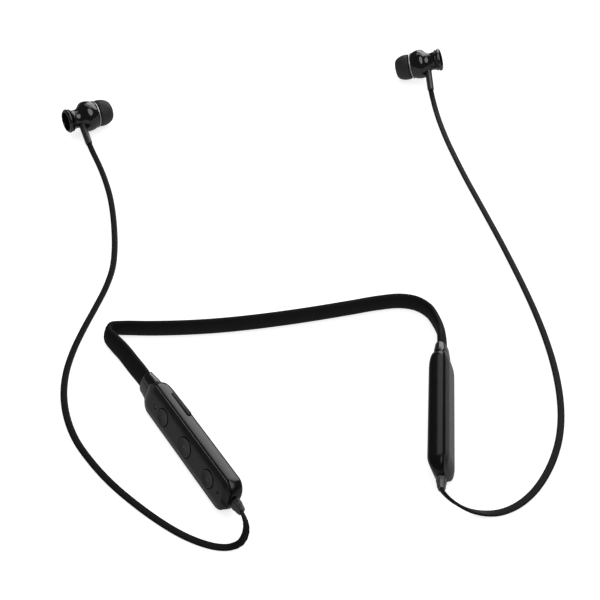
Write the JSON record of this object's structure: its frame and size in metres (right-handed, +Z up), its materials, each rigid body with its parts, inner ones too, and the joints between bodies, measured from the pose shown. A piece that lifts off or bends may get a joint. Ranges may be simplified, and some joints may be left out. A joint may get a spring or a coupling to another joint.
{
  "type": "neckband earphones",
  "caption": "Neckband earphones with a flexible silicone band, slim button and battery modules, flat leads and magnetic earbuds with pull-off silicone tips.",
  "frame": {"origin": "under the middle of the neckband's back, on the table that the earphones lie on", "axes": "+Z up, +X towards the wearer's right-hand battery module, -Y towards the open front of the U, with the earbuds laid out on the +Y side"},
  "size_m": [0.1951, 0.2676, 0.017],
  "materials": {
    "band_silicone": "matte near-black silicone",
    "tip_silicone": "matte dark grey silicone",
    "lead_jacket": "matte black flat cord",
    "gloss_black": "polished black",
    "satin_black": "satin black",
    "bare_steel": "fine satin steel",
    "bright_trim": "bright ring",
    "gold_plate": "gold-plated can",
    "board_green": "solder mask",
    "chip_black": "moulded epoxy",
    "cell_foil": "satin foil pouch",
    "light_pipe": "clear smoked plastic",
    "wire_red": "red insulated wire"
  },
  "bodies": {
    "neckband": {"neckband_jacket": "band_silicone", "memory_wire": "bare_steel", "battery_lead": "wire_red"},
    "left_arm": {"left_front_shell": "gloss_black", "left_rear_shell": "gloss_black", "left_collar": "gloss_black", "left_gland": "satin_black", "volume_up_switch": "bare_steel", "play_switch": "bare_steel", "volume_down_switch": "bare_steel", "main_board": "board_green", "bluetooth_chip": "chip_black", "microphone": "gold_plate", "status_light": "light_pipe", "usb_socket": "bare_steel", "left_lead": "lead_jacket", "left_back_cap": "gloss_black", "left_magnet": "bare_steel", "left_rear_housing": "gloss_black", "left_stem": "satin_black", "left_driver": "cell_foil", "left_trim_ring": "bright_trim", "left_nozzle": "satin_black", "left_nozzle_mesh": "bare_steel"},
    "right_arm": {"right_outer_shell": "gloss_black", "right_inner_shell": "gloss_black", "right_collar": "gloss_black", "right_gland": "satin_black", "battery_cell": "cell_foil", "protection_board": "board_green", "right_lead": "lead_jacket", "right_back_cap": "gloss_black", "right_magnet": "bare_steel", "right_rear_housing": "gloss_black", "right_stem": "satin_black", "right_driver": "cell_foil", "right_trim_ring": "bright_trim", "right_nozzle": "satin_black", "right_nozzle_mesh": "bare_steel"},
    "volume_up_key": {"volume_up_button": "gloss_black"},
    "play_key": {"play_button": "gloss_black"},
    "volume_down_key": {"volume_down_button": "gloss_black"},
    "charging_cover": {"port_cover": "band_silicone"},
    "left_tip": {"left_ear_tip": "tip_silicone"},
    "right_tip": {"right_ear_tip": "tip_silicone"}
  },
  "joints": [
    {"name": "flex_left", "type": "hinge", "parent": "neckband", "child": "left_arm", "pos_m": [-0.0595, 0.0015, 0.004], "axis": [0, 0, -1], "range_deg": [-12, 20], "stiffness_Nm_per_rad": 0.12, "deforming": ["neckband_jacket", "memory_wire", "battery_lead"]},
    {"name": "flex_right", "type": "hinge", "parent": "neckband", "child": "right_arm", "pos_m": [0.063, -0.0055, 0.004], "axis": [0, 0, 1], "range_deg": [-12, 20], "stiffness_Nm_per_rad": 0.12, "deforming": ["neckband_jacket", "memory_wire", "battery_lead"]},
    {"name": "volume_up_press", "type": "slide", "parent": "left_arm", "child": "volume_up_key", "axis": [0.8461, 0.3626, -0.3907], "range_m": [0, 0.00035], "stiffness_N_per_m": 1500},
    {"name": "play_press", "type": "slide", "parent": "left_arm", "child": "play_key", "axis": [0.8461, 0.3626, -0.3907], "range_m": [0, 0.00035], "stiffness_N_per_m": 1500},
    {"name": "volume_down_press", "type": "slide", "parent": "left_arm", "child": "volume_down_key", "axis": [0.8461, 0.3626, -0.3907], "range_m": [0, 0.00035], "stiffness_N_per_m": 1500},
    {"name": "cover_hinge", "type": "hinge", "parent": "left_arm", "child": "charging_cover", "pos_m": [-0.04049, -0.03837, 0.01195], "axis": [-0.8461, -0.3626, 0.3907], "range_deg": [0, 100], "stiffness_Nm_per_rad": 0.0003},
    {"name": "left_tip_pull", "type": "slide", "parent": "left_arm", "child": "left_tip", "axis": [0.9067, 0.4037, -0.1219], "range_m": [0, 0.005]},
    {"name": "right_tip_pull", "type": "slide", "parent": "right_arm", "child": "right_tip", "axis": [-0.9089, 0.2606, -0.3256], "range_m": [0, 0.005]}
  ]
}
